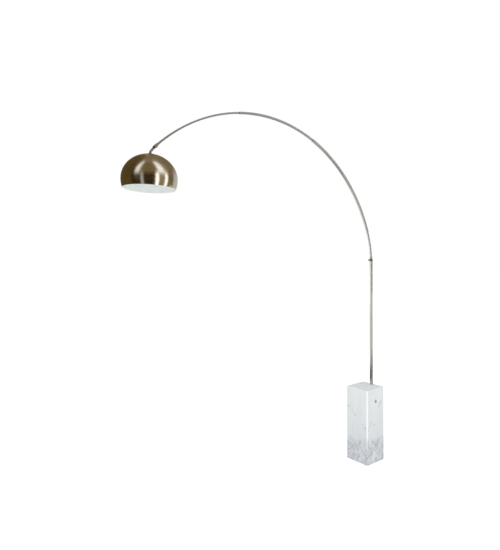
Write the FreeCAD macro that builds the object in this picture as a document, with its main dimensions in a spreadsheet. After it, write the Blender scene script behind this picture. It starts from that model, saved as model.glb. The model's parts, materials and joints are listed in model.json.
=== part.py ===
"""Arc floor lamp: marble block, square post, telescoping arched arm and a domed metal shade.

Millimetres. The origin is the centre of the underside, +Z is up and the arm reaches towards -X.
Every solid is a sub-part of its own, and its Label names its file in parts/.
"""
import FreeCAD
import Part
import math
import os
import re
import Sketcher
from FreeCAD import Placement, Rotation, Vector

# Driving dimensions, in millimetres and degrees.
SIZES = {
    # marble block, with the felt that it stands on
    "base_side": 200, "base_top": 564, "felt_thick": 2, "felt_side": 194,
    "edge_round": 10, "rim_round": 7,
    "lift_radius": 13, "lift_drop": 97,
    "recess_long": 60, "recess_wide": 50, "recess_deep": 45, "recess_offset": 58,
    # square post, set into the block near its rear edge
    "post_offset": 77, "post_side": 18, "post_wall": 1.5, "post_top": 1521,
    "socket_side": 18.4, "socket_deep": 60,
    "plug_side": 14.9, "plug_long": 30,
    # hollow rod that pulls the post down into the block
    "rod_radius": 5, "rod_bore": 3, "rod_hole": 6, "rod_end": 28, "rod_play": 0.2,
    "plate_long": 57, "plate_wide": 40, "plate_thick": 4,
    "washer_radius": 10, "washer_thick": 2, "nut_flats": 17, "nut_tall": 8,
    # cord inlet in the rear face
    "gland_height": 14, "gland_radius": 4.5, "gland_flange": 8, "gland_lip": 2.5, "gland_bore": 2.7,
    "lead_radius": 2.4, "lead_bend": 10, "lead_gap": 2,
    "strand_radius": 1, "strand_pitch": 2.7, "strand_low": 0.5, "strand_high": 1.5, "strand_end": 1,
    # swivel at the top of the post
    "collar_radius": 13, "collar_tall": 16, "collar_edge": 1.5, "shank_long": 40, "swivel_bore": 5.55,
    "spigot_radius": 5.5, "spigot_bore": 3.2, "spigot_end": 4, "flange_radius": 8.5, "flange_thick": 3,
    "disc_radius": 9, "disc_thick": 0.95, "disc_gap": 0.05,
    "foot_gap": 8, "seat_rim": 1.5, "foot_ease": 0.6, "tenon_side": 10.2, "tenon_long": 20, "tenon_sink": 0.5,
    "ferrule_side": 16.6, "ferrule_tall": 7, "ferrule_bore": 13.2,
    # clamping screws with round heads
    "screw_radius": 2, "screw_hole": 2.05, "screw_gap": 0.3,
    "knob_radius": 8, "knob_thick": 9, "knob_stand": 4, "knob_dish": 1.2, "knob_edge": 0.8, "knob_rim": 1.5,
    "grooves": 12, "groove_radius": 0.7,
    # arch: one circle from the kink to the tip, with a tighter curve below the kink
    "arc_radius": 1090, "arc_height": 1361.2, "lower_radius": 690,
    "kink_angle": 20.45, "joint_one": 66, "joint_two": 99.24, "tip_angle": 131.2, "hinge_angle": 132.45,
    "overlap_foot": 4, "overlap_mid": 5, "overlap_end": 5,
    "outer_side": 16, "outer_wall": 1.2, "inner_side": 13, "inner_wall": 1.2,
    "mid_wall": 1, "end_side": 10.4, "end_wall": 0.9,
    "glide_wall": 0.4, "glide_lip": 3, "glide_tenon": 8, "glide_play": 0.05,
    "pin_radius": 1.6, "pin_head": 3, "pin_head_thick": 0.8, "pin_edge": 0.6, "pin_long": 4.5,
    # knuckle between the arm and the shade
    "fork_side": 14, "fork_block": 5, "fork_gap": 0.1, "cheek_thick": 3.2, "fork_eye": 8,
    "fork_tenon": 7.4, "fork_tenon_long": 10, "lead_way": 2.4,
    "tongue_thick": 7, "tongue_reach": 12, "tongue_side": 12,
    "pad_radius": 6, "pad_thick": 1, "head_radius": 5, "head_thick": 3, "head_edge": 1,
    "wheel_radius": 8.5, "wheel_thick": 8,
    # bent neck down to the shade
    "neck_radius": 6.5, "neck_bore": 5, "neck_slope": 38, "neck_bend": 18, "neck_inside": 34,
    "neck_play": 0.1, "neck_lead_drop": 3.9,
    # domed shade
    "shade_offset": -1758.5, "shade_height": 1990, "shade_tilt": 3.36,
    "dome_radius": 148.6, "dome_rise": 132.5, "dome_skirt": 50, "shell_thick": 0.8,
    "liner_gap": 0.1, "liner_thick": 0.6,
    "cap_radius": 13, "cap_tall": 6, "cap_top": 8.5, "cap_gap": 0.05, "cap_rim": 2,
    "seat_radius": 15, "seat_thick": 1.5, "seat_gap": 0.7, "lock_flats": 18, "lock_tall": 5,
    # lamp holder and lamp
    "holder_radius": 19.5, "holder_neck": 10, "holder_tall": 46, "holder_crown": 10, "holder_well": 32,
    "sleeve_radius": 14.4, "sleeve_bore": 13.6, "sleeve_tall": 24, "sleeve_inset": 2, "sleeve_play": 0.05,
    "ring_radius": 23, "ring_tall": 7, "ring_inset": 4,
    "contact_long": 16, "contact_wide": 5, "contact_thick": 0.8,
    "lamp_cap_radius": 13.2, "lamp_cap_tall": 25, "lamp_tip_radius": 4.5, "lamp_tip_tall": 2, "lamp_step": 2,
    "bulb_radius": 29, "bulb_wall": 0.9, "bulb_neck": 12.8, "bulb_latitude": 30, "bulb_neck_tall": 6,
}

ACROSS = Vector(0, 1, 0)
UP = Vector(0, 0, 1)
FULL_TURN = 360
CLEAR = 2          # how far a cutting tool runs past the face that it cuts

doc = FreeCAD.newDocument("ArcLamp")
sheet = doc.addObject("Spreadsheet::Sheet", "Sizes")
for row, (alias, value) in enumerate(SIZES.items(), start=1):
    sheet.set(f"A{row}", alias)
    sheet.set(f"B{row}", str(value))
    sheet.setAlias(f"B{row}", alias)
doc.recompute()

WORD = re.compile(r"[a-z][a-z0-9_]*")
parts = []


# ---------------------------------------------------------------- sizes and drawing helpers

def bound(text):
    """The expression text with every alias pointed at the sheet."""
    def pointed(word):
        return "Sizes." + word.group() if word.group() in SIZES else word.group()
    return WORD.sub(pointed, str(text))


def number(text):
    """What an expression of the sheet's aliases comes to."""
    result = sheet.evalExpression(bound(text))
    return float(getattr(result, "Value", result))


def bind(thing, **values):
    """Ties properties of an object to expressions of the sheet's aliases."""
    for name, text in values.items():
        thing.setExpression(name, bound(text))


def keep(thing, label, place=Placement()):
    """Makes an object a sub-part, under its label and at its place."""
    thing.Label = label
    thing.Placement = place
    parts.append(thing)
    return thing


def new_body(label, place=Placement()):
    return keep(doc.addObject("PartDesign::Body", label), label, place)


def new_sketch(body, role="XY_Plane", offset=Placement()):
    """A sketch on one of the body's own origin planes."""
    sketch = body.newObject("Sketcher::SketchObject", body.Label + "_sketch")
    plane = next(feature for feature in body.Origin.OriginFeatures if feature.Role == role)
    sketch.AttachmentSupport = [(plane, "")]
    sketch.MapMode = "FlatFace"
    sketch.AttachmentOffset = offset
    return sketch


def pin_point(sketch, edge, point, across, up):
    for kind, text in (("DistanceX", across), ("DistanceY", up)):
        index = sketch.addConstraint(Sketcher.Constraint(kind, -1, 1, edge, point, number(text)))
        sketch.setExpression(f"Constraints[{index}]", bound(text))


def outline(sketch, points):
    """A closed outline whose corners are pairs of expressions."""
    corners = [Vector(number(across), number(up), 0) for across, up in points]
    first = sketch.GeometryCount
    for here, there in zip(corners, corners[1:] + corners[:1]):
        sketch.addGeometry(Part.LineSegment(here, there), False)
    for index in range(len(points)):
        after = (index + 1) % len(points)
        sketch.addConstraint(Sketcher.Constraint("Coincident", first + index, 2, first + after, 1))
    for index, (across, up) in enumerate(points):
        pin_point(sketch, first + index, 1, across, up)


def oblong(sketch, width, depth, across="0", up="0"):
    """A rectangle about the point (across, up)."""
    corners = ((-1, -1), (1, -1), (1, 1), (-1, 1))
    outline(sketch, [(f"{across} + {a} * ({width}) / 2", f"{up} + {b} * ({depth}) / 2") for a, b in corners])


def circle(sketch, radius, across="0", up="0"):
    """A circle about the point (across, up)."""
    centre = Vector(number(across), number(up), 0)
    edge = sketch.addGeometry(Part.Circle(centre, UP, number(radius)), False)
    pin_point(sketch, edge, 3, across, up)
    index = sketch.addConstraint(Sketcher.Constraint("Radius", edge, number(radius)))
    sketch.setExpression(f"Constraints[{index}]", bound(radius))


def hexagon(sketch, flats):
    """A hexagon of the given width across its flats."""
    reach = f"({flats}) / sqrt(3)"
    corners = [(f"{reach} * cos({60 * k})", f"{reach} * sin({60 * k})") for k in range(6)]
    outline(sketch, corners)


def pad(body, sketch, length, downwards=False):
    feature = body.newObject("PartDesign::Pad", body.Label + "_pad")
    feature.Profile = sketch
    feature.Reversed = downwards
    bind(feature, Length=length)
    return feature


def pocket(body, sketch, length, backwards=False):
    """Cuts a sketch into the body, and stops if nothing was cut."""
    doc.recompute()
    before = body.Shape.Volume
    feature = body.newObject("PartDesign::Pocket", body.Label + "_pocket")
    feature.Profile = sketch
    feature.Reversed = backwards
    bind(feature, Length=length)
    doc.recompute()
    if body.Shape.Volume > before - 1:
        raise RuntimeError(f"{body.Label}: a pocket cut nothing")
    return feature


def spin(body, sketch, angle, backwards=False):
    """Revolves a sketch about its own vertical axis."""
    feature = body.newObject("PartDesign::Revolution", body.Label + "_revolution")
    feature.Profile = sketch
    feature.ReferenceAxis = (sketch, ["V_Axis"])
    feature.Reversed = backwards
    bind(feature, Angle=angle)
    return feature


def turned(label, points, place):
    """A turned piece: an outline of (radius, height) corners revolved about its own Z axis."""
    body = new_body(label, place)
    sketch = new_sketch(body, "XZ_Plane")
    outline(sketch, points)
    spin(body, sketch, FULL_TURN)
    return body


def ring_points(inner, outer, low, high):
    return [(inner, low), (outer, low), (outer, high), (inner, high)]


def square_section(side, wall):
    """Draws the section of a square tube."""
    def draw(sketch, across="0"):
        oblong(sketch, side, side, across)
        oblong(sketch, f"{side} - 2 * {wall}", f"{side} - 2 * {wall}", across)
    return draw


def round_section(radius, up="0", bore=None):
    """Draws the section of a round bar, or of a round tube where there is a bore."""
    def draw(sketch, across="0"):
        circle(sketch, radius, across, up)
        if bore:
            circle(sketch, bore, across, up)
    return draw


def bent_bar(label, place, section, runs):
    """A bar or tube of one section through straight runs and bends in its own XZ plane.

    It starts at its own origin, along +Z. A run is ("straight", length) or ("bend", radius, angle),
    where a positive angle bends towards -X and a negative one towards +X.
    """
    body = new_body(label, place)
    here = Vector(0, 0, 0)
    slope = 0.0
    for run in runs:
        turn = Rotation(ACROSS, -slope)
        if run[0] == "straight":
            sketch = new_sketch(body, "XY_Plane", Placement(here, turn))
            section(sketch)
            pad(body, sketch, run[1])
            here = here + turn.multVec(UP) * number(run[1])
            continue
        radius, angle = run[1], number(run[2])
        side = 1 if angle > 0 else -1
        centre = here + turn.multVec(Vector(-side * number(radius), 0, 0))
        sketch = new_sketch(body, "XY_Plane", Placement(centre, turn))
        section(sketch, f"{side} * ({radius})")
        spin(body, sketch, f"{side} * ({run[2]})", backwards=side > 0)
        slope += angle
        here = centre + Rotation(ACROSS, -slope).multVec(Vector(side * number(radius), 0, 0))
    return body


# ---------------------------------------------------------------- places along the lamp

post_x = number("post_offset")
curve_start = number("arc_height + (arc_radius - lower_radius) * sin(kink_angle)")
arc_x = post_x - number("lower_radius + (arc_radius - lower_radius) * cos(kink_angle)")
arc_z = number("arc_height")


def above_post(height):
    return Placement(Vector(post_x, 0, height), Rotation())


def arc_point(angle, radius="arc_radius"):
    """A point of the arch, its angle counted up from the horizontal at the post's side."""
    turn = math.radians(angle)
    return Vector(arc_x + number(radius) * math.cos(turn), 0, arc_z + number(radius) * math.sin(turn))


def along_arc(angle):
    """A place on the arch with its own +Z pointing on towards the tip."""
    return Placement(arc_point(angle), Rotation(ACROSS, -angle))


def arc_piece(label, section, start, end):
    """A length of the arch between two angles."""
    return bent_bar(label, along_arc(number(start)), section, [("bend", "arc_radius", f"{end} - ({start})")])


def on_shade(rise=0.0):
    """A place on the shade's own axis, counted up from the middle of the dome."""
    tilt = Rotation(ACROSS, number("shade_tilt"))
    centre = Vector(number("shade_offset"), 0, number("shade_height"))
    return Placement(centre + tilt.multVec(UP) * rise, tilt)


# ---------------------------------------------------------------- block and post

def build_base():
    """Marble block with a lifting hole, a socket for the post, a rod hole and a recess below."""
    body = new_body("marble_base")
    low = number("felt_thick")
    sketch = new_sketch(body, "XY_Plane", Placement(Vector(0, 0, low), Rotation()))
    oblong(sketch, "base_side", "base_side")
    pad(body, sketch, "base_top - felt_thick")
    doc.recompute()
    half = number("base_side") / 2
    upright = [name for name, edge in named_edges(body) if edge.BoundBox.ZLength > half]
    round_edges(body, upright, "edge_round")
    top = number("base_top")
    rim = [name for name, edge in named_edges(body) if edge.BoundBox.ZMin > top - 0.01]
    round_edges(body, rim, "rim_round")

    lift = new_sketch(body, "XZ_Plane")
    circle(lift, "lift_radius", "0", "base_top - lift_drop")
    cut = pocket(body, lift, f"base_side + {CLEAR}")
    cut.Midplane = True
    socket = new_sketch(body, "XY_Plane", Placement(Vector(0, 0, top), Rotation()))
    oblong(socket, "socket_side", "socket_side", "post_offset")
    pocket(body, socket, "socket_deep")
    recess = new_sketch(body, "XY_Plane", Placement(Vector(0, 0, low), Rotation()))
    oblong(recess, "recess_long", "recess_wide", "recess_offset")
    pocket(body, recess, "recess_deep", backwards=True)
    bore = new_sketch(body, "XY_Plane", Placement(Vector(0, 0, low), Rotation()))
    circle(bore, "rod_hole", "post_offset")
    pocket(body, bore, "base_top - felt_thick", backwards=True)
    inlet = new_sketch(body, "YZ_Plane", Placement(Vector(0, 0, half), Rotation()))
    circle(inlet, "gland_radius", "0", "gland_height")
    pocket(body, inlet, "base_side / 2 - recess_offset")

    felt = new_body("base_felt")
    sketch = new_sketch(felt)
    oblong(sketch, "felt_side", "felt_side")
    pad(felt, sketch, "felt_thick")
    doc.recompute()
    corners = [name for name, edge in named_edges(felt) if edge.BoundBox.ZLength > low / 2]
    round_edges(felt, corners, "edge_round")


def named_edges(body):
    return [(f"Edge{index}", edge) for index, edge in enumerate(body.Shape.Edges, start=1)]


def round_edges(body, names, radius):
    before = body.Tip
    fillet = body.newObject("PartDesign::Fillet", body.Label + "_fillet")
    fillet.Base = (before, names)
    bind(fillet, Radius=radius)
    doc.recompute()


def build_post():
    """Square post with the parts that hold it in the block."""
    foot = number("base_top - socket_deep")
    bent_bar("post_tube", above_post(foot), square_section("post_side", "post_wall"),
             [("straight", "post_top - base_top + socket_deep")])

    plug = new_body("post_foot_plug", above_post(foot))
    sketch = new_sketch(plug)
    oblong(sketch, "plug_side", "plug_side")
    circle(sketch, "rod_radius")
    pad(plug, sketch, "plug_long")

    rod_low = number("rod_end")
    rod = new_body("clamp_rod", above_post(rod_low))
    sketch = new_sketch(rod)
    circle(sketch, "rod_radius")
    circle(sketch, "rod_bore")
    pad(rod, sketch, "base_top - socket_deep + plug_long - rod_end")

    ceiling = number("felt_thick + recess_deep")
    plate = new_body("clamp_plate", Placement(Vector(number("recess_offset"), 0, ceiling), Rotation()))
    sketch = new_sketch(plate)
    oblong(sketch, "plate_long", "plate_wide")
    circle(sketch, "rod_radius + rod_play", "post_offset - recess_offset")
    pad(plate, sketch, "plate_thick", downwards=True)

    washer = new_body("clamp_washer", above_post(ceiling - number("plate_thick")))
    sketch = new_sketch(washer)
    circle(sketch, "washer_radius")
    circle(sketch, "rod_radius + rod_play")
    pad(washer, sketch, "washer_thick", downwards=True)

    nut = new_body("clamp_nut", above_post(ceiling - number("plate_thick + washer_thick")))
    sketch = new_sketch(nut)
    hexagon(sketch, "nut_flats")
    circle(sketch, "rod_radius")
    pad(nut, sketch, "nut_tall", downwards=True)


def build_inlet():
    """Flanged gland in the rear face, and the lead from it up to the top of the post."""
    wall = number("base_side / 2")
    facing_back = Rotation(ACROSS, 90)
    place = Placement(Vector(wall, 0, number("gland_height")), facing_back)
    gland = [("gland_bore", "-base_side / 2 + recess_offset + recess_long / 2"),
             ("gland_radius", "-base_side / 2 + recess_offset + recess_long / 2"),
             ("gland_radius", "0"), ("gland_flange", "0"), ("gland_flange", "gland_lip / 2"),
             ("gland_flange - gland_lip / 2", "gland_lip"), ("gland_bore", "gland_lip")]
    turned("cord_gland", gland, place)

    start = Placement(Vector(wall + number("gland_lip"), 0, number("gland_height")), Rotation(ACROSS, -90))
    bent_bar("lead_post", start, round_section("lead_radius"), [
        ("straight", "base_side / 2 + gland_lip - post_offset - lead_bend"),
        ("bend", "lead_bend", "-90"),
        ("straight", "post_top - gland_height - lead_bend - shank_long - lead_gap")])
    print("lead_post bend radius", number("lead_bend"))


# ---------------------------------------------------------------- swivel on top of the post

def build_swivel():
    """Collar that caps the post, the pin that turns in it, and its clamping screw."""
    top = number("post_top")
    collar = new_body("swivel_collar", above_post(top))
    ring = new_sketch(collar, "XZ_Plane")
    outline(ring, [
        ("swivel_bore", "0"), ("collar_radius - collar_edge", "0"), ("collar_radius", "collar_edge"),
        ("collar_radius", "collar_tall - collar_edge"), ("collar_radius - collar_edge", "collar_tall"),
        ("swivel_bore", "collar_tall")])
    spin(collar, ring, FULL_TURN)
    shank = new_sketch(collar)
    oblong(shank, "plug_side", "plug_side")
    circle(shank, "swivel_bore")
    pad(collar, shank, "shank_long", downwards=True)
    tapped = new_sketch(collar, "YZ_Plane")
    circle(tapped, "screw_hole", "0", "collar_tall / 2")
    pocket(collar, tapped, f"collar_radius + {CLEAR}")

    high = number("post_top + collar_tall")
    disc = new_body("swivel_disc", above_post(high))
    sketch = new_sketch(disc)
    circle(sketch, "disc_radius")
    circle(sketch, "swivel_bore")
    pad(disc, sketch, "disc_thick")

    seat = high + number("disc_thick + disc_gap")
    spigot = new_body("arm_spigot", above_post(seat))
    profile = new_sketch(spigot, "XZ_Plane")
    low = "-collar_tall - shank_long + spigot_end"
    outline(profile, [("spigot_bore", low), ("spigot_radius", low),
                      ("spigot_radius", "0"), ("flange_radius", "0"), ("flange_radius", "flange_thick"),
                      ("spigot_radius", "flange_thick"), ("spigot_radius", "foot_gap - seat_rim"),
                      ("flange_radius", "foot_gap - seat_rim"), ("flange_radius", "foot_gap"),
                      ("spigot_bore", "foot_gap")])
    spin(spigot, profile, FULL_TURN)
    slope, foot = lower_arc_foot(seat)
    lift = Vector(foot.x - post_x, 0, number("foot_gap - tenon_sink"))
    tenon = new_sketch(spigot, "XY_Plane", Placement(lift, Rotation(ACROSS, -slope)))
    oblong(tenon, "tenon_side", "tenon_side")
    circle(tenon, "spigot_bore")
    pad(spigot, tenon, "tenon_long")


def lower_arc_foot(seat):
    """Slope and place of the lower arc's foot, for the height of the swivel's seat."""
    rise = seat + number("foot_gap + foot_ease") - curve_start
    slope = math.degrees(math.asin(rise / number("lower_radius")))
    across = number("lower_radius") * (1 - math.cos(math.radians(slope)))
    return slope, Vector(post_x - across, 0, curve_start + rise)


def grip(label, radius, thick, place, bore=None, shank=None):
    """Round grip, dished on its outer face, grooved along its rim, with a bore or a threaded shank."""
    body = new_body(label, place)
    sketch = new_sketch(body, "XZ_Plane")
    inner = bore or "0"
    floor = f"{thick} - knob_dish"
    points = [(inner, "0"), (f"{radius} - knob_edge", "0"), (radius, "knob_edge"),
              (radius, f"{thick} - knob_edge"), (f"{radius} - knob_edge", thick),
              (f"{radius} - knob_rim", thick), (f"{radius} - knob_rim - knob_edge", floor), (inner, floor)]
    if shank:
        points = [("0", f"-({shank})"), ("screw_radius", f"-({shank})"), ("screw_radius", "0")] + points[1:]
    outline(sketch, points)
    spin(body, sketch, FULL_TURN)
    doc.recompute()
    groove = new_sketch(body)
    circle(groove, "groove_radius", radius)
    first = pocket(body, groove, thick, backwards=True)
    pattern = body.newObject("PartDesign::PolarPattern", label + "_grooves")
    pattern.Originals = [first]
    pattern.Axis = (groove, ["N_Axis"])
    pattern.Angle = FULL_TURN
    bind(pattern, Occurrences="grooves")
    body.Tip = pattern
    return body


def build_collar_screw():
    """Clamping screw on the arm's side of the collar, its axis along -X."""
    height = number("post_top + collar_tall / 2")
    head = post_x - number("collar_radius + knob_stand")
    place = Placement(Vector(head, 0, height), Rotation(ACROSS, -90))
    grip("collar_screw", "knob_radius", "knob_thick", place,
         shank="collar_radius + knob_stand - swivel_bore - screw_gap")


# ---------------------------------------------------------------- arched arm

def build_lower_arm():
    """Lower arc, its ferrule, the outer arc that it plugs into and the two pins between them."""
    seat = number("post_top + collar_tall + disc_thick + disc_gap")
    slope, foot = lower_arc_foot(seat)
    section = square_section("inner_side", "inner_wall")
    bent_bar("lower_arc", Placement(foot, Rotation(ACROSS, -slope)), section,
             [("bend", "lower_radius", f"kink_angle - {slope}"), ("bend", "arc_radius", "overlap_foot")])

    half_tall = math.degrees(number("ferrule_tall") / 2 / number("lower_radius"))
    middle = slope + half_tall
    radius = number("lower_radius")
    centre = Vector(post_x - radius, 0, curve_start)
    turn = Rotation(ACROSS, -middle)
    place = Placement(centre + turn.multVec(Vector(radius, 0, -number("ferrule_tall") / 2)), turn)
    ferrule = new_body("foot_ferrule", place)
    sketch = new_sketch(ferrule)
    oblong(sketch, "ferrule_side", "ferrule_side")
    oblong(sketch, "ferrule_bore", "ferrule_bore")
    pad(ferrule, sketch, "ferrule_tall")

    arc_piece("outer_arc", square_section("outer_side", "outer_wall"), "kink_angle", "joint_one")
    for side, label in ((-1, "arc_pin_front"), (1, "arc_pin_back")):
        spot = arc_point(number("kink_angle + overlap_foot / 2"))
        spot.y = side * number("outer_side") / 2
        facing = Rotation(Vector(1, 0, 0), -90 * side)
        turned(label, [("0", "-pin_long + outer_wall"), ("pin_radius", "-pin_long + outer_wall"),
                       ("pin_radius", "0"), ("pin_head", "0"), ("pin_head - pin_edge", "pin_head_thick"),
                       ("0", "pin_head_thick")], Placement(spot, facing))
    drill_pin_holes()

    low = number("post_top - shank_long + lead_gap")
    bent_bar("lead_arm", above_post(low), round_section("strand_radius"), [
        ("straight", f"{curve_start - low}"),
        ("bend", "lower_radius", "kink_angle"),
        ("bend", "arc_radius", "joint_one - overlap_mid - kink_angle + 2 * strand_end")])


def drill_pin_holes():
    """Cross holes for the two pins, through the outer arc and the lower arc's upper end."""
    by_label = {part.Label: part for part in parts}
    spot = arc_point(number("kink_angle + overlap_foot / 2"))
    for label in ("outer_arc", "lower_arc"):
        body = by_label[label]
        local = body.Placement.inverse().multVec(spot)
        hole = new_sketch(body, "XZ_Plane")
        circle(hole, "pin_radius", f"{local.x}", f"{local.z}")
        cut = pocket(body, hole, f"outer_side + 2 * {CLEAR}")
        cut.Midplane = True


def glide(label, angle, side, wall):
    """Plastic glide in a sliding section's lower end: a lip outside the tube, a hollow tenon in it."""
    place = along_arc(angle)
    body = new_body(label, place)
    bore = f"{side} - 2 * {wall} - 2 * glide_wall"
    lip = new_sketch(body)
    oblong(lip, side, side)
    oblong(lip, bore, bore)
    pad(body, lip, "glide_lip", downwards=True)
    tenon = new_sketch(body)
    fit = f"{side} - 2 * {wall} - 2 * glide_play"
    oblong(tenon, fit, fit)
    oblong(tenon, bore, bore)
    pad(body, tenon, "glide_tenon")
    return body


def build_sliding_arms():
    """The two sections that slide into each other, each with its glide and its length of lead."""
    arc_piece("mid_arc", square_section("inner_side", "mid_wall"), "joint_one - overlap_mid", "joint_two")
    glide("mid_arc_glide", number("joint_one - overlap_mid"), "inner_side", "mid_wall")
    arc_piece("lead_mid", round_section("strand_radius", "strand_pitch"),
              "joint_one - overlap_mid + strand_low", "joint_two - overlap_end + strand_high")

    arc_piece("end_arc", square_section("end_side", "end_wall"), "joint_two - overlap_end", "tip_angle")
    glide("end_arc_glide", number("joint_two - overlap_end"), "end_side", "end_wall")
    arc_piece("lead_end", round_section("strand_radius", "-strand_pitch"),
              "joint_two - overlap_end + strand_low", "tip_angle - strand_end")


# ---------------------------------------------------------------- knuckle and neck

def build_knuckle():
    """Fork on the arm's tip, the pivot screw with its pads, and the hand wheel that clamps it."""
    hinge = number("hinge_angle")
    reach = math.radians(hinge - number("tip_angle")) * number("arc_radius") - number("fork_gap")
    fork = new_body("knuckle_fork", along_arc(hinge))
    tenon = new_sketch(fork, "XY_Plane", Placement(Vector(0, 0, -reach), Rotation()))
    oblong(tenon, "fork_tenon", "fork_tenon")
    pad(fork, tenon, "fork_tenon_long", downwards=True)
    block = new_sketch(fork, "XY_Plane", Placement(Vector(0, 0, -reach), Rotation()))
    oblong(block, "fork_side", "fork_side")
    pad(fork, block, "fork_block")
    for side in (-1, 1):
        middle = side * number("fork_side - cheek_thick") / 2
        cheek = new_sketch(fork, "XZ_Plane", Placement(Vector(0, 0, -middle), Rotation()))
        oblong(cheek, "fork_side", f"{reach}", "0", f"{-reach / 2}")
        pad(fork, cheek, "cheek_thick").Midplane = True
        eye = new_sketch(fork, "XZ_Plane", Placement(Vector(0, 0, -middle), Rotation()))
        circle(eye, "fork_eye")
        pad(fork, eye, "cheek_thick").Midplane = True
    bore = new_sketch(fork, "XZ_Plane")
    circle(bore, "screw_hole")
    pocket(fork, bore, f"fork_side + 2 * {CLEAR}").Midplane = True
    block_top = number("fork_block") - reach
    lead_way = new_sketch(fork, "XY_Plane", Placement(Vector(0, 0, block_top), Rotation()))
    circle(lead_way, "lead_way")
    pocket(fork, lead_way, f"fork_block + fork_tenon_long + 2 * {CLEAR}")

    outward = {"front": Rotation(Vector(1, 0, 0), 90), "back": Rotation(Vector(1, 0, 0), -90)}
    centre = arc_point(hinge)
    cheek_face = number("fork_side / 2")
    for name, side in (("front", -1), ("back", 1)):
        spot = Vector(centre.x, side * cheek_face, centre.z)
        turned(f"knuckle_pad_{name}", ring_points("screw_hole", "pad_radius", "0", "pad_thick"),
               Placement(spot, outward[name]))
    head_face = Vector(centre.x, number("fork_side / 2 + pad_thick"), centre.z)
    long = "fork_side + 2 * pad_thick + wheel_thick - knob_dish"
    turned("pivot_screw", [("0", f"-({long})"), ("screw_radius", f"-({long})"), ("screw_radius", "0"),
                           ("head_radius", "0"), ("head_radius", "head_thick - head_edge"),
                           ("head_radius - head_edge", "head_thick"), ("0", "head_thick")],
           Placement(head_face, outward["back"]))
    wheel_face = Vector(centre.x, -number("fork_side / 2 + pad_thick + disc_gap"), centre.z)
    wheel_place = Placement(wheel_face, outward["front"])
    grip("hand_wheel", "wheel_radius", "wheel_thick", wheel_place, bore="screw_hole")


def neck_runs():
    """Start, slope and lengths of the bent neck, worked out from the knuckle and the dome."""
    centre = on_shade()
    knuckle = centre.inverse().multVec(arc_point(number("hinge_angle")))
    slope = math.radians(number("neck_slope"))
    corner = knuckle.z - knuckle.x / math.tan(slope)
    tangent = number("neck_bend") * math.tan(slope / 2)
    rise = corner - tangent
    straight = knuckle.x / math.sin(slope) - tangent
    return rise, straight


def build_neck():
    """Bent tube from the knuckle into the top of the shade, with its tongue and its lead."""
    rise, straight = neck_runs()
    low = number("dome_rise - neck_inside")
    upper = straight - number("tongue_reach")
    runs = [("straight", f"{rise - low}"), ("bend", "neck_bend", "-neck_slope"), ("straight", f"{upper}")]
    bent_bar("neck_tube", on_shade(low), round_section("neck_radius", bore="neck_bore"), runs)
    below = number("neck_lead_drop")
    bent_bar("lead_neck", on_shade(low - below), round_section("lead_radius"),
             [("straight", f"{rise - low + below}")] + runs[1:])
    print("lead_neck bend radius", number("neck_bend"))

    slope = number("shade_tilt + neck_slope")
    tongue = new_body("knuckle_tongue", Placement(arc_point(number("hinge_angle")), Rotation(ACROSS, slope)))
    eye = new_sketch(tongue, "XZ_Plane")
    circle(eye, "fork_eye")
    pad(tongue, eye, "tongue_thick").Midplane = True
    stem = new_sketch(tongue, "XZ_Plane")
    oblong(stem, "tongue_side", "tongue_reach", "0", "-tongue_reach / 2")
    pad(tongue, stem, "tongue_thick").Midplane = True
    bore = new_sketch(tongue, "XZ_Plane")
    circle(bore, "screw_hole")
    pocket(tongue, bore, f"tongue_thick + 2 * {CLEAR}").Midplane = True


# ---------------------------------------------------------------- shade

def bowl(label, radius, rise, skirt):
    """Solid of the dome's form: half an ellipsoid over a band of the sphere of the same width."""
    crown = doc.addObject("Part::Ellipsoid", label + "_crown")
    bind(crown, Radius1=rise, Radius2=radius, Radius3=radius)
    crown.Angle1 = 0
    band = doc.addObject("Part::Sphere", label + "_band")
    bind(band, Radius=radius, Angle1=f"-asin(({skirt}) / ({radius}))")
    band.Angle2 = 0
    whole = doc.addObject("Part::Fuse", label + "_form")
    whole.Base = crown
    whole.Tool = band
    return whole


def dome_skin(label, inset, thick):
    """One skin of the dome, inset from its outer face, with the neck's hole at its top."""
    def form(name, depth, skirt):
        return bowl(label + name, f"dome_radius - {depth}", f"dome_rise - {depth}", skirt)
    outer = form("_outer", inset, "dome_skirt")
    inner = form("_inner", f"({inset} + {thick})", f"dome_skirt + {CLEAR}")
    hollow = doc.addObject("Part::Cut", label + "_hollow")
    hollow.Base = outer
    hollow.Tool = inner
    drill = doc.addObject("Part::Cylinder", label + "_drill")
    bind(drill, Radius="neck_radius + neck_play", Height=f"dome_rise + {CLEAR}")
    skin = doc.addObject("Part::Cut", label)
    skin.Base = hollow
    skin.Tool = drill
    return keep(skin, label, on_shade())


def build_shade():
    """Outer shell, white liner and the stack that clamps them on the neck."""
    dome_skin("shade_shell", "0", "shell_thick")
    dome_skin("shade_liner", "(shell_thick + liner_gap)", "liner_thick")
    top = number("dome_rise + cap_gap")
    turned("shade_cap", [("neck_radius", "0"), ("cap_radius", "0"), ("cap_radius", "cap_rim"),
                         ("cap_top", "cap_tall"), ("neck_radius", "cap_tall")], on_shade(top))
    under = number("dome_rise - shell_thick - liner_gap - liner_thick - seat_gap")
    turned("shade_washer", ring_points("neck_radius", "seat_radius", "-seat_thick", "0"), on_shade(under))
    nut = new_body("shade_nut", on_shade(under - number("seat_thick")))
    sketch = new_sketch(nut)
    hexagon(sketch, "lock_flats")
    circle(sketch, "neck_radius")
    pad(nut, sketch, "lock_tall", downwards=True)


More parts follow.
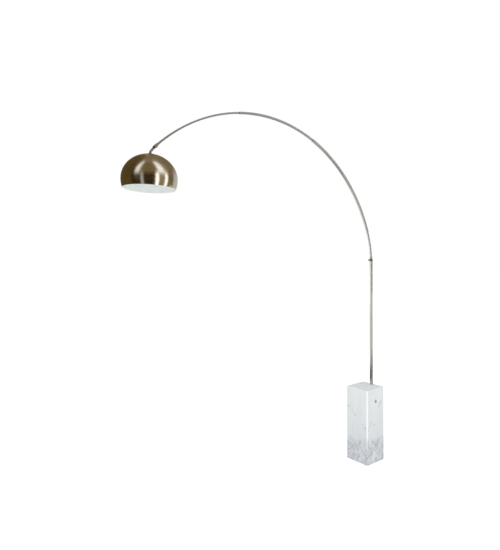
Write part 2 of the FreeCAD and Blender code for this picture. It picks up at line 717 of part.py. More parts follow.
def build_lamp():
    """Lamp holder screwed on the neck, with its sleeve, contact and ring, and the lamp in it."""
    crown = number("dome_rise - neck_inside + holder_crown")
    mouth = crown - number("holder_tall")
    turned("lamp_holder", [
        ("neck_radius", "0"), ("holder_neck", "0"), ("holder_neck", "-holder_crown / 2"),
        ("holder_radius", "-holder_crown"), ("holder_radius", "-holder_tall"),
        ("sleeve_radius", "-holder_tall"), ("sleeve_radius", "-holder_tall + holder_well"),
        ("neck_radius", "-holder_tall + holder_well")],
        on_shade(crown))
    turned("socket_sleeve", ring_points("sleeve_bore", "sleeve_radius - sleeve_play", "0", "sleeve_tall"),
           on_shade(mouth + number("sleeve_inset")))
    well = mouth + number("holder_well")
    contact = new_body("centre_contact", on_shade(well))
    sketch = new_sketch(contact)
    oblong(sketch, "contact_long", "contact_wide")
    pad(contact, sketch, "contact_thick", downwards=True)
    turned("holder_ring", ring_points("holder_radius", "ring_radius", "0", "ring_tall"),
           on_shade(mouth + number("ring_inset")))

    tip = well - number("contact_thick")
    turned("lamp_cap", [
        ("0", "0"), ("lamp_tip_radius", "0"), ("lamp_tip_radius + lamp_step / 2", "-lamp_tip_tall"),
        ("lamp_cap_radius - lamp_step", "-lamp_tip_tall - lamp_step"),
        ("lamp_cap_radius", "-lamp_tip_tall - 2 * lamp_step"),
        ("lamp_cap_radius", "-lamp_cap_tall"), ("0", "-lamp_cap_tall")], on_shade(tip))
    build_bulb(tip - number("lamp_cap_tall"))


def bulb_form(label, inset):
    """Ball, tangent cone and neck of the lamp's glass, inset from its outer face."""
    ball = doc.addObject("Part::Sphere", label + "_ball")
    bind(ball, Radius=f"bulb_radius - {inset}")
    cone = doc.addObject("Part::Cone", label + "_cone")
    wide, narrow = f"(bulb_radius - {inset}) * cos(bulb_latitude)", f"bulb_neck - {inset}"
    tall = f"({wide} - ({narrow})) / tan(bulb_latitude)"
    low = f"(bulb_radius - {inset}) * sin(bulb_latitude)"
    bind(cone, Radius1=wide, Radius2=narrow, Height=tall)
    cone.Placement.Base = Vector(0, 0, number(low))
    neck = doc.addObject("Part::Cylinder", label + "_neck")
    bind(neck, Radius=narrow, Height=f"bulb_neck_tall + {inset} * 2")
    neck.Placement.Base = Vector(0, 0, number(f"{low} + {tall}"))
    form = doc.addObject("Part::MultiFuse", label + "_form")
    form.Shapes = [ball, cone, neck]
    form.Refine = True
    return form, number(f"{low} + {tall} + bulb_neck_tall")


def build_bulb(cap_end):
    outer, tall = bulb_form("bulb_outer", "0")
    inner, _ = bulb_form("bulb_inner", "bulb_wall")
    glass = doc.addObject("Part::Cut", "lamp_glass")
    glass.Base = outer
    glass.Tool = inner
    keep(glass, "lamp_glass", on_shade(cap_end - tall))


# ---------------------------------------------------------------- build, check and write

def check_and_write():
    """Stops on a failed object or a bad shape, then writes each sub-part to its own file."""
    doc.recompute()
    failed = [thing.Name for thing in doc.Objects if {"Invalid", "Error"} & set(thing.State)]
    if failed:
        raise RuntimeError(f"failed objects: {failed}")
    for part in parts:
        if part.Shape.isNull() or not part.Shape.isValid() or len(part.Shape.Solids) != 1:
            raise RuntimeError(f"{part.Label}: {len(part.Shape.Solids)} solids, or a shape that is not valid")
    os.makedirs("parts", exist_ok=True)
    for part in parts:
        part.Shape.exportStep(f"parts/{part.Label}.step")
    print(len(parts), "sub-parts written")
    hinge = arc_point(number("hinge_angle"))
    print("arch centre", round(arc_x, 3), round(arc_z, 3), "knuckle", round(hinge.x, 3), round(hinge.z, 3))


build_base()
build_post()
build_inlet()
build_swivel()
build_collar_screw()
build_lower_arm()
build_sliding_arms()
build_knuckle()
build_neck()
build_shade()
build_lamp()
check_and_write()
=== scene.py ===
"""Looks of the arc floor lamp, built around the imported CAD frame. Metres, +Z up, the arm reaches towards -X."""
import json
import math

import bmesh
import bpy
import numpy as np
from mathutils import Matrix, Vector


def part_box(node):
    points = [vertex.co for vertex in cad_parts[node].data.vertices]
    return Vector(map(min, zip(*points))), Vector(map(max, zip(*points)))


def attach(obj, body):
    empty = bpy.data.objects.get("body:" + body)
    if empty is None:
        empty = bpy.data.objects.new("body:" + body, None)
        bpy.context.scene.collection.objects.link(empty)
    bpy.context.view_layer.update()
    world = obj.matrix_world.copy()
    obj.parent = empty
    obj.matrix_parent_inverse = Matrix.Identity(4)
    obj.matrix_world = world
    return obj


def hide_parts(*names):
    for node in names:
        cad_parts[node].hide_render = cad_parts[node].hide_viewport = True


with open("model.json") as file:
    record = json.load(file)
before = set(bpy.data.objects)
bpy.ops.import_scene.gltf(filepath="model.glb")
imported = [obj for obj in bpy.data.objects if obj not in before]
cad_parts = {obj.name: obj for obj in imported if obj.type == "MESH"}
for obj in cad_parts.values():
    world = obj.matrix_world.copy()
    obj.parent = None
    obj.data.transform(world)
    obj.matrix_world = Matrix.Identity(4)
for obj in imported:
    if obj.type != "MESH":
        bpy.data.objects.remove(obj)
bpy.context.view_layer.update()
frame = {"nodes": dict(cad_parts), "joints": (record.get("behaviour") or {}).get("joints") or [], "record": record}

NODES = frame["nodes"]
JOINTS = {joint["name"]: joint for joint in frame["joints"]}
MM = 0.001
QUARTER = math.pi / 2

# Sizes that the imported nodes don't state outright, as in the CAD.
ARCH = Vector(JOINTS["mid_section_slide"]["pos_m"])             # centre of the circle that the arch follows
LOWER_RADIUS, KINK = 0.690, math.radians(20.45)                 # of the lower arc's tighter bend, and where it ends
SHADE_CENTRE, SHADE_TILT = Vector((-1.7585, 0, 1.990)), math.radians(3.36)
DOME_RADIUS, DOME_RISE, DOME_SKIRT, DOME_HOLE = 0.1486, 0.1325, 0.050, 0.0066
SHELL_THICK, LINER_THICK, LINER_INSET = 0.0008, 0.0006, 0.0009  # the inset is from the shell's outer face
TUBES = {                                                       # wall and corner radius of each square tube
    "post_tube": (0.0015, 0.0022),
    "lower_arc": (0.0012, 0.0018),
    "outer_arc": (0.0012, 0.0020),
    "mid_arc": (0.0010, 0.0017),
    "end_arc": (0.0009, 0.0017),
}

# How finely the pieces are made.
CREASE = math.radians(32)           # edges sharper than this stay sharp
WELD = 1e-7                         # points nearer than this are one
TUBE_LIP, TUBE_INSIDE = 0.0003, 0.02    # rounding of a tube's ends, and how far in its inner face is made
POST_STEPS, ARC_STEP = 24, math.radians(0.6)


# ---------------------------------------------------------------- node graphs

class Graph:
    """A node tree, written as calls."""

    def __init__(self, tree):
        self.tree = tree

    def add(self, kind, out=0, settings=None, **inputs):
        """Adds a node and gives its output socket. Inputs go by name, or as _0, _1 by position."""
        node = self.tree.nodes.new("ShaderNode" + kind)
        for name, value in (settings or {}).items():
            setattr(node, name, value)
        for name, value in inputs.items():
            socket = node.inputs[int(name[1:])] if name[0] == "_" else node.inputs[name.replace("_", " ")]
            self.put(socket, value)
        return node.outputs[out]

    def put(self, socket, value):
        if isinstance(value, bpy.types.NodeSocket):
            self.tree.links.new(value, socket)
        else:
            socket.default_value = value

    def math(self, operation, a, b=0.0, clamp=False):
        return self.add("Math", settings={"operation": operation, "use_clamp": clamp}, _0=a, _1=b)

    def most(self, values):
        """The largest of several values."""
        result = values[0]
        for value in values[1:]:
            result = self.math("MAXIMUM", result, value)
        return result

    def ramp(self, value, low, high):
        """0 below low, 1 above high and smooth between. With low over high it falls from 1 to 0 instead."""
        if low > high:
            return self.math("SUBTRACT", 1.0, self.ramp(value, high, low))
        return self.add("MapRange", settings={"interpolation_type": "SMOOTHSTEP"}, _0=value, _1=low, _2=high)

    def mix(self, factor, a, b):
        """Colour a at factor 0 and b at factor 1."""
        node = self.tree.nodes.new("ShaderNodeMix")
        node.data_type = "RGBA"
        for socket, value in ((node.inputs[0], factor), (node.inputs[6], a), (node.inputs[7], b)):
            self.put(socket, value)
        return node.outputs[2]

    def noise(self, point, scale, detail=3.0, rough=0.5, twist=0.0):
        return self.add("TexNoise", Vector=point, Scale=scale, Detail=detail, Roughness=rough, Distortion=twist)


class Surface(Graph):
    """A new material around one Principled shader."""

    def __init__(self, name):
        self.material = bpy.data.materials.new(name)
        self.material.use_nodes = True
        super().__init__(self.material.node_tree)
        self.shader = self.tree.nodes["Principled BSDF"]

    def set(self, **inputs):
        for name, value in inputs.items():
            self.put(self.shader.inputs[name.replace("_", " ")], value)

    def object_point(self, scale=(1, 1, 1)):
        return self.add("Mapping", Vector=self.add("TexCoord", out=3), Scale=scale)

    def uneven(self, pattern, spread, base):
        """Roughness that a pattern from 0 to 1 raises from the base by the spread."""
        self.set(Roughness=self.math("ADD", self.math("MULTIPLY", pattern, spread), base))

    def bump(self, height, distance, strength):
        self.set(Normal=self.add("Bump", Height=height, Distance=distance, Strength=strength))


def shaded(tone, share=1.0):
    """A tone made darker or lighter, as a colour."""
    return tuple(min(1.0, share * part) for part in tone) + (1,)


# ---------------------------------------------------------------- materials

def marble():
    """White marble: faint clouds above, broken diagonal veins, and a heavily veined lower third."""
    g = Surface("white_marble")
    point = g.object_point()
    wander = g.add("VectorMath", settings={"operation": "SUBTRACT"}, _1=(0.5, 0.5, 0.5),
                   _0=g.add("TexNoise", out=1, Vector=point, Scale=9.0, Detail=4.0, Roughness=0.6))
    drift = g.add("VectorMath", settings={"operation": "SCALE"}, _0=wander, Scale=0.07)
    bent = g.add("VectorMath", settings={"operation": "ADD"}, _0=point, _1=drift)
    height = g.add("SeparateXYZ", out=2, Vector=bent)

    def vein(direction, offset, width, speckle, share):
        """A thin sheet through the block, broken up by noise so that only a share of it shows."""
        normal = Vector(direction)
        size = normal.length
        across = g.add("VectorMath", out=1, settings={"operation": "DOT_PRODUCT"}, _0=bent, _1=tuple(normal / size))
        away = g.math("ABSOLUTE", g.math("SUBTRACT", across, offset / size))
        line = g.ramp(away, width, 0.0)
        broken = g.ramp(g.noise(point, speckle, 2.0, 0.6), 0.62 - share, 0.74 - share)
        return g.math("MULTIPLY", line, broken)

    specks = g.most([
        vein((-1.198, -0.929, 1.0), 0.466, 0.0075, 46.0, 0.10),
        vein((1.5, -2.0, 1.0), 0.4415, 0.0060, 52.0, 0.10),
    ])
    streaks = g.most([
        vein((-0.9, -1.135, 1.0), 0.300, 0.0045, 16.0, 0.16),
        vein((-0.9, -1.135, 1.0), 0.262, 0.0035, 18.0, 0.12),
        vein((-0.5, 0.22, 0.10), 0.020, 0.0040, 11.0, 0.12),
        vein((-0.8, 0.10, 0.16), -0.010, 0.0030, 13.0, 0.12),
        vein((-0.3, -1.0, 0.35), 0.130, 0.0030, 15.0, 0.12),
    ])
    bold = vein((-0.9, -1.14, 1.0), 0.252, 0.0110, 14.0, 0.30)

    # The heavily veined zone: patches, threads and one bold vein, below a ragged upper edge.
    leaning = g.add("Mapping", Vector=bent, Rotation=(math.radians(-42), 0, math.radians(20)), Scale=(1.0, 1.0, 0.42))
    ragged = g.math("MULTIPLY", g.noise(leaning, 17.0, 4.0, 0.62), 0.14)
    low = g.ramp(g.math("SUBTRACT", height, ragged), 0.135, 0.070)
    patch = g.ramp(g.noise(leaning, 34.0, 6.0, 0.62, 1.4), 0.40, 0.66)
    ridge = g.math("ABSOLUTE", g.math("SUBTRACT", g.noise(leaning, 26.0, 5.0, 0.60, 2.2), 0.5))
    thread = g.ramp(ridge, 0.045, 0.0)
    heavy = g.math("MULTIPLY", low, g.math("ADD", g.math("MULTIPLY", patch, 0.62), 0.02))
    heavy = g.math("ADD", heavy, g.math("MULTIPLY", low, g.math("MULTIPLY", thread, 0.26)))
    heavy = g.math("ADD", heavy, g.math("MULTIPLY", g.math("MULTIPLY", low, bold), 0.32), clamp=True)

    cloud = g.ramp(g.noise(g.object_point((1.0, 1.0, 0.30)), 22.0, 4.0, 0.55, 0.4), 0.38, 0.68)
    depth = g.ramp(height, 0.52, 0.10)
    soft = g.math("ADD", g.math("MULTIPLY", depth, 0.36), g.math("MULTIPLY", cloud, 0.16), clamp=True)
    crystal = g.ramp(g.noise(point, 140.0, 2.0), 0.3, 0.7)
    colour = g.mix(crystal, (0.71, 0.735, 0.74, 1), (0.75, 0.77, 0.775, 1))
    for share, tone in ((soft, (0.53, 0.565, 0.605, 1)),
                        (g.math("MULTIPLY", streaks, 0.26), (0.42, 0.45, 0.49, 1)),
                        (g.math("MULTIPLY", specks, 0.76), (0.28, 0.30, 0.33, 1)),
                        (heavy, (0.29, 0.32, 0.37, 1))):
        colour = g.mix(share, colour, tone)

    # A painted highlight: a light line along the upright edges stands in for the highlight on their rounding. It
    # starts
    # 9.5 mm from the corner, is full from 5.5 mm, and is weaker in the heavy zone.
    sides = [g.math("ABSOLUTE", g.add("SeparateXYZ", out=index, Vector=point)) for index in (0, 1)]
    # mask of the painted highlight on the edge rounding
    painted_edge_highlight = g.ramp(g.math("MINIMUM", *sides), 0.0905, 0.0945)
    pale = g.math("SUBTRACT", 0.85, g.math("MULTIPLY", low, 0.70))
    colour = g.mix(g.math("MULTIPLY", painted_edge_highlight, pale), colour, (0.96, 0.97, 0.975, 1))
    g.set(Base_Color=colour, IOR=1.5, Specular_IOR_Level=0.25)
    g.uneven(g.noise(point, 60.0), 0.10, 0.17)
    g.bump(g.noise(point, 380.0, 2.0), 0.00005, 0.25)
    return g.material


def brushed(name, tone, rough, turned=False, anisotropy=0.9, contrast=1.0):
    """Metal brushed along U of the UV map: along a tube, or around the axis of a turned piece.

    The grooves spread a reflection across themselves, so the highlight is turned a quarter from the tangent.
    """
    g = Surface(name)
    line = g.add("UVMap")
    if turned:                                  # object space has no seam where the turned piece closes
        depth = g.add("SeparateXYZ", out=1, Vector=line)
        place = g.add("TexCoord", out=3)
        flat = [g.math("MULTIPLY", g.add("SeparateXYZ", out=index, Vector=place), 0.012) for index in (0, 1)]
        grooves = g.add("CombineXYZ", X=flat[0], Y=flat[1], Z=depth)
    else:
        grooves = g.add("Mapping", Vector=line, Scale=(0.004, 1, 1))
    fine = g.noise(grooves, 1500.0, 3.0, 0.7)
    broad = g.noise(grooves, 150.0, 3.0, 0.6)
    shade = g.math("ADD", g.math("MULTIPLY", fine, 0.6), g.math("MULTIPLY", broad, 0.4))
    dark, light = shaded(tone, 1 - 0.14 * contrast), shaded(tone, 1 + 0.06 * contrast)
    g.set(Base_Color=g.mix(g.ramp(shade, 0.35, 0.65), dark, light), Metallic=1.0,
          Anisotropic=anisotropy, Anisotropic_Rotation=0.25,
          Tangent=g.add("Tangent", settings={"direction_type": "UV_MAP"}))
    g.uneven(shade, 0.10 * contrast, rough - 0.05 * contrast)
    g.bump(fine, 0.00001, 0.5)
    return g.material


def satin(name, tone, rough):
    """Turned or machined metal that needs no UV map."""
    g = Surface(name)
    grain = g.noise(g.object_point((1, 1, 6)), 900.0, 3.0, 0.7)
    wear = g.ramp(g.noise(g.object_point(), 160.0, 4.0, 0.6), 0.45, 0.75)
    g.set(Base_Color=g.mix(wear, shaded(tone, 0.84), shaded(tone, 1.08)), Metallic=1.0)
    g.uneven(grain, 0.16, rough - 0.08)
    g.bump(grain, 0.00003, 0.4)
    return g.material


def lacquer():
    g = Surface("white_lacquer")
    point = g.object_point()
    peel = g.noise(point, 260.0, 2.0)
    cloud = g.ramp(g.noise(point, 30.0, 3.0), 0.3, 0.7)
    g.set(Base_Color=g.mix(cloud, (0.86, 0.895, 0.885, 1), (0.90, 0.93, 0.92, 1)))
    g.uneven(peel, 0.12, 0.34)
    g.bump(peel, 0.00006, 0.3)
    return g.material


def moulded(name, tone, rough):
    g = Surface(name)
    point = g.object_point()
    grain = g.noise(point, 1400.0, 2.0)
    g.set(Base_Color=g.mix(g.ramp(g.noise(point, 220.0, 3.0), 0.35, 0.65), shaded(tone, 0.85), shaded(tone)))
    g.uneven(grain, 0.15, rough - 0.07)
    g.bump(grain, 0.00004, 0.5)
    return g.material


def felt():
    g = Surface("pressed_felt")
    fibre = g.noise(g.object_point(), 2200.0, 5.0, 0.75, 1.5)
    g.set(Base_Color=g.mix(g.ramp(fibre, 0.35, 0.65), (0.05, 0.05, 0.05, 1), (0.14, 0.14, 0.14, 1)),
          Sheen_Weight=0.4)
    g.uneven(fibre, 0.08, 0.9)
    g.bump(fibre, 0.0003, 0.8)
    return g.material


def opal():
    g = Surface("opal_glass")
    haze = g.ramp(g.noise(g.object_point(), 24.0, 3.0), 0.3, 0.7)
    g.set(Base_Color=g.mix(haze, (0.90, 0.90, 0.88, 1), (0.95, 0.95, 0.93, 1)), Transmission_Weight=0.25, IOR=1.5)
    g.uneven(haze, 0.04, 0.12)
    return g.material


FINISH = {
    "marble": marble(),
    "felt": felt(),
    "brushed_tube": brushed("brushed_nickel", (0.35, 0.358, 0.35), 0.24, anisotropy=0.5, contrast=0.3),
    "dark_nickel": satin("dark_nickel", (0.36, 0.335, 0.28), 0.34),
    "plated_steel": satin("zinc_plate", (0.66, 0.66, 0.66), 0.36),
    "brushed_shade": brushed("spun_nickel", (0.73, 0.68, 0.575), 0.20, turned=True, anisotropy=0.80),
    "white_lacquer": lacquer(),
    "black_plastic": moulded("black_plastic", (0.045, 0.045, 0.045), 0.5),
    "white_plastic": moulded("white_plastic", (0.82, 0.82, 0.80), 0.3),
    "lead": moulded("lead_sheath", (0.03, 0.03, 0.03), 0.6),
    "brass": satin("brass", (0.80, 0.62, 0.28), 0.28),
    "opal_glass": opal(),
}


# ---------------------------------------------------------------- mesh builders

def points(node):
    return np.array([vertex.co for vertex in NODES[node].data.vertices])


def show(name, data):
    thing = bpy.data.objects.new(name, data)
    bpy.context.scene.collection.objects.link(thing)
    return thing


def piece(name, body, slot, node, vertices, faces, uvs, place=None):
    """A smooth-shaded mesh that rides on a body and stands for a CAD node."""
    mesh = bpy.data.meshes.new(name)
    mesh.from_pydata([tuple(v) for v in vertices], [], faces)
    mesh.update()
    layer = mesh.uv_layers.new(name="UVMap")
    for polygon, corners in zip(mesh.polygons, uvs):
        for loop, corner in zip(polygon.loop_indices, corners):
            layer.data[loop].uv = corner
    welded = bmesh.new()
    welded.from_mesh(mesh)
    bmesh.ops.remove_doubles(welded, verts=welded.verts, dist=WELD)
    welded.to_mesh(mesh)
    welded.free()
    mesh.shade_smooth()
    mesh.set_sharp_from_angle(angle=CREASE)
    mesh.materials.append(FINISH[slot])
    thing = show(name, mesh)
    if place is not None:
        thing.matrix_world = place
    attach(thing, body)
    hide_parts(node)


def skin(along, around, count):
    """Faces and UVs of closed rings of count points each, from how far along the rings lie and around them."""
    faces, uvs = [], []
    for row in range(len(along) - 1):
        a, b = row * count, (row + 1) * count
        for index in range(count):
            after = (index + 1) % count
            faces.append((a + index, a + after, b + after, b + index))
            uvs.append([(along[row + far], around[index + on]) for far, on in ((0, 0), (0, 1), (1, 1), (1, 0))])
    return faces, uvs


def rounded_square(half, corner, steps=5):
    """Outline of a square with rounded corners, as pairs (out, across)."""
    outline = []
    for quarter in range(4):
        turn = quarter * QUARTER
        for step in range(steps + 1):
            angle = turn + step / steps * QUARTER
            signs = (math.copysign(1, math.cos(turn + QUARTER / 2)), math.copysign(1, math.sin(turn + QUARTER / 2)))
            outline.append((signs[0] * (half - corner) + corner * math.cos(angle),
                            signs[1] * (half - corner) + corner * math.sin(angle)))
    return outline


def square_tube(name, body, node, frames):
    """Square tube with rounded corners along frames of (centre, out, onwards), its ends softly rounded."""
    wall, corner = TUBES[node]
    half = float(np.ptp(points(node)[:, 1])) / 2
    inner, inner_corner = half - wall, corner - wall

    def ring(station, shift, size, rounding):
        centre, out, onwards = station
        return [centre + onwards * shift + out * u + Vector((0, v, 0)) for u, v in rounded_square(size, rounding)]

    mouth = [(TUBE_INSIDE, inner, inner_corner), (TUBE_LIP, inner, inner_corner),
             (0, inner + TUBE_LIP, inner_corner + TUBE_LIP), (0, half - TUBE_LIP, corner - TUBE_LIP),
             (TUBE_LIP, half, corner)]
    rings = [ring(frames[0], *row) for row in mouth]
    rings += [ring(station, 0, half, corner) for station in frames[1:-1]]
    rings += [ring(frames[-1], -shift, size, rounding) for shift, size, rounding in reversed(mouth)]
    count = len(rings[0])
    along, around = [0.0], [0.0]
    for here, there in zip(rings, rings[1:]):
        along.append(along[-1] + float(np.mean(np.linalg.norm(np.array(there) - np.array(here), axis=1))))
    middle = np.array(rings[len(rings) // 2])
    for index in range(count):
        around.append(around[-1] + float(np.linalg.norm(middle[(index + 1) % count] - middle[index])))
    piece(name, body, "brushed_tube", node, [point for each in rings for point in each],
          *skin(along, around, count))


def arc_frames(centre, radius, start, end):
    count = max(2, int(round((end - start) / ARC_STEP)))
    result = []
    for index in range(count + 1):
        angle = start + (end - start) * index / count
        out = Vector((math.cos(angle), 0, math.sin(angle)))
        result.append((centre + out * radius, out, Vector((-math.sin(angle), 0, math.cos(angle)))))
    return result


def lathe(name, body, slot, node, profile, place, segments=96, flutes=None):
    """Turned piece: profile of (radius, height) in metres about the local Z of its place.

    flutes is (count, depth, low, high): the radius dips count times around, between those two heights and
    where it is over half of the widest.
    """
    widest = max(radius for radius, _ in profile)
    vertices = []
    for radius, height in profile:
        for index in range(segments):
            angle = 2 * math.pi * index / segments
            here = radius
            if flutes and flutes[2] <= height <= flutes[3] and radius > widest / 2:
                here -= flutes[1] * (0.5 - 0.5 * math.cos(flutes[0] * angle))
            vertices.append((here * math.cos(angle), here * math.sin(angle), height))
    length = [0.0]
    for (r0, z0), (r1, z1) in zip(profile, profile[1:]):
        length.append(length[-1] + math.hypot(r1 - r0, z1 - z0))
    around = [2 * math.pi * widest * index / segments for index in range(segments + 1)]
    faces, uvs = skin(length, around, segments)
    uvs = [[(u, v) for v, u in corners] for corners in uvs]         # U runs around, as the brushing does
    piece(name, body, slot, node, vertices, faces, uvs, place)


# ---------------------------------------------------------------- tubes of the stand and the arch

def span(node, centre):
    """Angles about a point, up from the horizontal, that a node of the arch lies between."""
    away = points(node) - np.array(centre)
    angles = np.arctan2(away[:, 2], away[:, 0])
    return float(angles.min()), float(angles.max())


def build_tubes():
    low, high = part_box("post_tube")
    middle = (low + high) / 2
    up, out = Vector((0, 0, 1)), Vector((1, 0, 0))
    square_tube("post", "base", "post_tube",
                [(Vector((middle.x, middle.y, low.z + (high.z - low.z) * index / POST_STEPS)), out, up)
                 for index in range(POST_STEPS + 1)])

    reach = np.hypot(*(points("outer_arc") - np.array(ARCH))[:, (0, 2)].T)
    radius = float(np.mean([reach.min(), reach.max()]))
    elbow = ARCH + Vector((math.cos(KINK), 0, math.sin(KINK))) * (radius - LOWER_RADIUS)
    foot, top = span("lower_arc", elbow)[0], span("lower_arc", ARCH)[1]
    square_tube("arch_lower", "lower_arm", "lower_arc",
                arc_frames(elbow, LOWER_RADIUS, foot, KINK) + arc_frames(ARCH, radius, KINK, top)[1:])
    for name, body, node in (("arch_outer", "lower_arm", "outer_arc"), ("arch_middle", "mid_arm", "mid_arc"),
                             ("arch_end", "end_arm", "end_arc")):
        square_tube(name, body, node, arc_frames(ARCH, radius, *span(node, ARCH)))


# ---------------------------------------------------------------- shade

SHADE = Matrix.Translation(SHADE_CENTRE) @ Matrix.Rotation(SHADE_TILT, 4, "Y")


def dome_line(inset, steps=56, skirt_steps=12):
    """Outline of the dome, from its top hole down to its mouth, inset from the outer face."""
    radius, rise = DOME_RADIUS - inset, DOME_RISE - inset
    line = []
    first = math.acos(DOME_HOLE / radius)
    for step in range(steps + 1):
        angle = first * (1 - step / steps)
        line.append((radius * math.cos(angle), rise * math.sin(angle)))
    last = math.asin(DOME_SKIRT / radius)
    for step in range(1, skirt_steps + 1):
        angle = -last * step / skirt_steps
        line.append((radius * math.cos(angle), radius * math.sin(angle)))
    return line


def hem(radius, height, thick, steps=6):
    """Half-round edge between an outer face that ends at (radius, height) and its inner face."""
    middle = radius - thick / 2
    arc = []
    for step in range(1, steps):
        angle = -math.pi * step / steps
        arc.append((middle + thick / 2 * math.cos(angle), height + thick / 2 * math.sin(angle)))
    return arc


def bowl(inset, thick):
    """Outline of a thin bowl in the dome's form: its outer face, its rounded rim and its inner face."""
    outer, inner = dome_line(inset), dome_line(inset + thick)
    (out_radius, out_end), (in_radius, in_end) = outer[-1], inner[-1]
    rim = out_end + thick / 2
    return (outer[:-1] + [(out_radius, rim)] + hem(out_radius, rim, thick)
            + [(in_radius, in_end + thick / 2)] + inner[-2::-1])


def build_shade():
    lathe("dome", "shade", "brushed_shade", "shade_shell", bowl(0, SHELL_THICK), SHADE, segments=192)
    lathe("dome_lining", "shade", "white_lacquer", "shade_liner", bowl(LINER_INSET, LINER_THICK), SHADE, segments=192)


# ---------------------------------------------------------------- turned fittings

def knurled_head(radius, thick, dish, edge=0.8 * MM, land=0.4 * MM, flutes=40, flute_depth=0.45 * MM):
    """Outline of a knurled head from its rear edge round to the dish in its face, and where the knurl lies."""
    outline = [(radius - edge, 0), (radius - 0.3 * edge, 0.25 * edge), (radius, edge), (radius, edge + land),
               (radius, thick - edge - land), (radius, thick - edge), (radius - 0.3 * edge, thick - 0.25 * edge),
               (radius - edge, thick), (radius - 1.5 * MM, thick), (radius - 1.9 * MM, thick - 0.5 * dish),
               (radius - 2.3 * MM, thick - dish)]
    return outline, (flutes, flute_depth, edge + land, thick - edge - land)


def build_fittings():
    """Knurled heads of the two clamping screws, and the cap on top of the dome."""
    low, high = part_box("hand_wheel")
    outline, knurl = knurled_head((high.x - low.x) / 2, high.y - low.y, 1.25 * MM)
    bore, top = 2.05 * MM, outline[-1][1]
    outline = [(bore, 0)] + outline + [(bore, top), (bore, 0)]
    place = Matrix.Translation(((low.x + high.x) / 2, high.y, (low.z + high.z) / 2))
    lathe("hand_wheel_head", "hand_wheel", "dark_nickel", "hand_wheel", outline,
          place @ Matrix.Rotation(QUARTER, 4, "X"), segments=240, flutes=knurl)

    low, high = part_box("collar_screw")
    thick, shank = 9.0 * MM, 2.0 * MM
    outline, knurl = knurled_head((high.z - low.z) / 2, thick, 1.2 * MM)
    tail, chamfer = high.x - low.x - thick, 0.5 * MM
    stem = [(0, -tail), (shank - chamfer, -tail), (shank, chamfer - tail), (shank, 0)]
    outline = stem + outline + [(0, outline[-1][1])]
    place = Matrix.Translation((low.x + thick, (low.y + high.y) / 2, (low.z + high.z) / 2))
    lathe("collar_screw_head", "collar_screw", "dark_nickel", "collar_screw", outline,
          place @ Matrix.Rotation(-QUARTER, 4, "Y"), segments=240, flutes=knurl)

    foot, wide, bore = 132.55 * MM, 13.0 * MM, 6.5 * MM
    outline = [(bore, foot), (wide - 0.4 * MM, foot), (wide, foot + 0.4 * MM), (wide, foot + 1.5 * MM),
               (wide - 0.25 * MM, foot + 2.0 * MM), (wide - 0.9 * MM, foot + 2.9 * MM),
               (8.9 * MM, foot + 5.5 * MM), (8.5 * MM, foot + 5.85 * MM), (8.1 * MM, foot + 6.0 * MM),
               (bore + 0.3 * MM, foot + 6.0 * MM), (bore, foot + 5.7 * MM), (bore, foot)]
    lathe("cap", "shade", "dark_nickel", "shade_cap", outline, SHADE)


# ---------------------------------------------------------------- finishes of the carried-over nodes

def finish_nodes():
    for row in frame["record"]["subparts"]:
        mesh = NODES[row["node"]].data
        mesh.materials.clear()
        mesh.materials.append(FINISH[row["material_slot"]])


# ---------------------------------------------------------------- camera and floor

EYE = (-2.8779, -2.3277, 1.5832)
YAW, PITCH, ROLL = 0.6531, -0.0427, -0.0144
LENS, SENSOR, FARTHEST = 31.0, 36.0, 200.0
FLOOR_HALF = 40.0


def build_camera():
    camera = show("camera", bpy.data.cameras.new("camera"))
    forward = Vector((math.cos(PITCH) * math.sin(YAW), math.cos(PITCH) * math.cos(YAW), math.sin(PITCH)))
    level = Vector((math.cos(YAW), -math.sin(YAW), 0))
    upright = level.cross(forward)
    right = level * math.cos(ROLL) + upright * math.sin(ROLL)
    up = upright * math.cos(ROLL) - level * math.sin(ROLL)
    camera.matrix_world = Matrix.Translation(EYE) @ Matrix((right, up, -forward)).transposed().to_4x4()
    camera.data.lens, camera.data.sensor_width, camera.data.clip_end = LENS, SENSOR, FARTHEST
    bpy.context.scene.camera = camera


def build_floor():
    mesh = bpy.data.meshes.new("floor")
    mesh.from_pydata([(-FLOOR_HALF, -FLOOR_HALF, 0), (FLOOR_HALF, -FLOOR_HALF, 0), (FLOOR_HALF, FLOOR_HALF, 0),
                      (-FLOOR_HALF, FLOOR_HALF, 0)], [], [(0, 1, 2, 3)])
    g = Surface("floor_paper")
    g.set(Base_Color=(0.42, 0.42, 0.42, 1), Roughness=0.9, Emission_Color=(1, 1, 1, 1), Emission_Strength=0.72,
          Specular_IOR_Level=0.0)
    mesh.materials.append(g.material)
    floor = show("floor", mesh)
    floor.visible_glossy = False


# ---------------------------------------------------------------- light

# What the metal mirrors: a plain studio with brown walls and white boxes. Each tier is the sine of the elevation
# where it holds, and stops of (bearing, light level), once round from 0 to 1, with straight runs between them.
# The lower tier has one dim and two bright strips and a broad dim box, and the upper tier has two wide boxes.
TIERS = [
    (0.15, [(0.00, 0.50), (0.04, 0.09), (0.28, 0.08), (0.30, 0.03), (0.395, 0.03), (0.41, 0.5), (0.425, 0.5),
            (0.44, 0.03), (0.56, 0.03), (0.582, 2.0), (0.597, 2.0), (0.615, 0.24), (0.675, 0.24), (0.692, 1.8),
            (0.707, 1.8), (0.73, 0.17), (0.80, 0.15), (0.83, 0.6)]),
    (0.50, [(0.00, 0.30), (0.04, 0.10), (0.28, 0.07), (0.315, 0.07), (0.335, 1.1), (0.37, 1.1), (0.40, 0.17),
            (0.59, 0.17), (0.625, 1.3), (0.675, 1.3), (0.71, 0.32), (0.76, 0.20), (0.95, 0.18)]),
]
OVERHEAD, OVERHEAD_FROM, OVERHEAD_FULL = 0.24, 0.94, 0.99
WALL_TINT = (0.30, -0.22, -0.85)     # what the walls add to a plain grey, in full where the light is dimmest
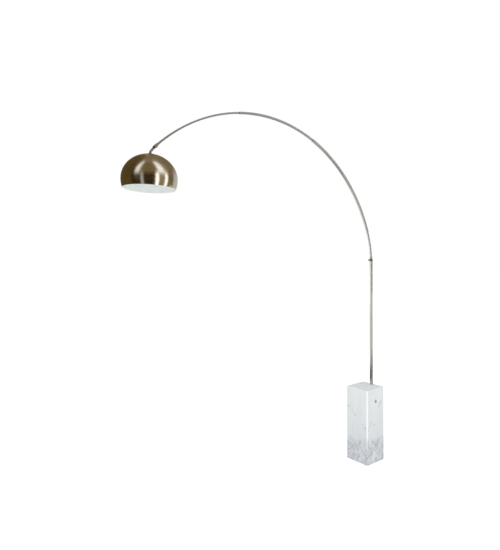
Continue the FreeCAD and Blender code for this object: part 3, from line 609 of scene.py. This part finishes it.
BEARING = math.radians(295.7)        # added to a direction's angle from +X, so bearing 0 lies 64.3 degrees from +X
SKY_LOW, SKY_HIGH = (0.88, 0.88, 0.88, 1), (1.06, 1.06, 1.06, 1)
SKY_FROM, SKY_FULL = 0.1, 1.0        # sines of elevation between which the soft wash brightens
BOX_TONE = (1.0, 0.995, 0.985)

# Two softboxes light the lamp, and three cards are only there for the metal of the stand to mirror.
# Name, place, point that it faces, width, height, watts, and whether it is for reflections only or diffuse light only.
BOXES = [
    ("key_box", (-3.2, -1.4, 3.4), (0, 0, 0.5), 1.6, 1.6, 11, False),
    ("fill_box", (1.6, -3.6, 2.4), (0, 0, 0.5), 2.0, 2.0, 1, False),
    ("side_card", (-0.85, 0.65, 1.04), (0, 0, 1.04), 0.9, 1.2, 5.2, True),
    ("front_card", (0.80, -0.62, 0.90), (0, 0, 0.90), 0.9, 0.6, 1.3, True),
    ("arch_card", (-0.60, 1.00, 1.42), (-0.60, 0, 1.42), 1.0, 0.8, 3.6, True),
]


def tinted(level):
    """A light level as a colour: brown where it is dim, and white from a half up."""
    share = max(0.0, 1 - 2 * level)
    return tuple(level * (1 + share * tint) for tint in WALL_TINT) + (1,)


def build_world():
    """Camera rays see plain white, reflections see the studio, and diffuse light is a soft white wash."""
    world = bpy.data.worlds.new("studio")
    bpy.context.scene.world = world
    world.use_nodes = True
    world.cycles.sampling_method = "NONE"       # no sampling map of the studio, which only reflections see
    world.node_tree.nodes.clear()
    g = Graph(world.node_tree)
    direction = g.add("TexCoord")
    east, north, rise = [g.add("SeparateXYZ", out=index, Vector=direction) for index in range(3)]
    angle = g.math("ADD", g.math("ARCTAN2", north, east), BEARING)
    turn = g.math("FRACT", g.math("DIVIDE", angle, 2 * math.pi))

    def band(stops):
        """Light by bearing, straight between the stops."""
        node = g.tree.nodes.new("ShaderNodeValToRGB")
        g.put(node.inputs[0], turn)
        ramp = node.color_ramp
        while len(ramp.elements) < len(stops):
            ramp.elements.new(0.5)
        for element, (at, level) in zip(ramp.elements, stops):
            element.position = at
            element.color = tinted(level)
        return node.outputs[0]

    (low, walls), (high, boxes) = TIERS
    seen = g.mix(g.ramp(rise, low, high), band(walls), band(boxes))
    seen = g.mix(g.ramp(rise, OVERHEAD_FROM, OVERHEAD_FULL), seen, tinted(OVERHEAD))
    gloss = g.add("Background", Color=seen, Strength=1.0)
    soft = g.add("Background", Color=g.mix(g.ramp(rise, SKY_FROM, SKY_FULL), SKY_LOW, SKY_HIGH), Strength=1.0)
    plain = g.add("Background", Color=(1, 1, 1, 1), Strength=1.0)
    path = g.tree.nodes.new("ShaderNodeLightPath")
    mixed = g.add("MixShader", _0=path.outputs["Is Glossy Ray"], _1=soft, _2=gloss)
    mixed = g.add("MixShader", _0=path.outputs["Is Camera Ray"], _1=mixed, _2=plain)
    g.put(g.tree.nodes.new("ShaderNodeOutputWorld").inputs[0], mixed)


def build_boxes():
    for name, where, aim, width, height, power, mirrored in BOXES:
        light = bpy.data.lights.new(name, "AREA")
        light.shape, light.size, light.size_y, light.energy = "RECTANGLE", width, height, power
        light.color = BOX_TONE
        lamp = show(name, light)
        lamp.visible_glossy, lamp.visible_diffuse, lamp.visible_camera = mirrored, not mirrored, False
        beam = Vector(aim) - Vector(where)
        lamp.matrix_world = Matrix.Translation(where) @ beam.to_track_quat("-Z", "Y").to_matrix().to_4x4()


build_camera()
build_world()
build_boxes()
build_floor()
build_tubes()
build_shade()
build_fittings()
finish_nodes()
bpy.context.scene.view_settings.view_transform = "Standard"
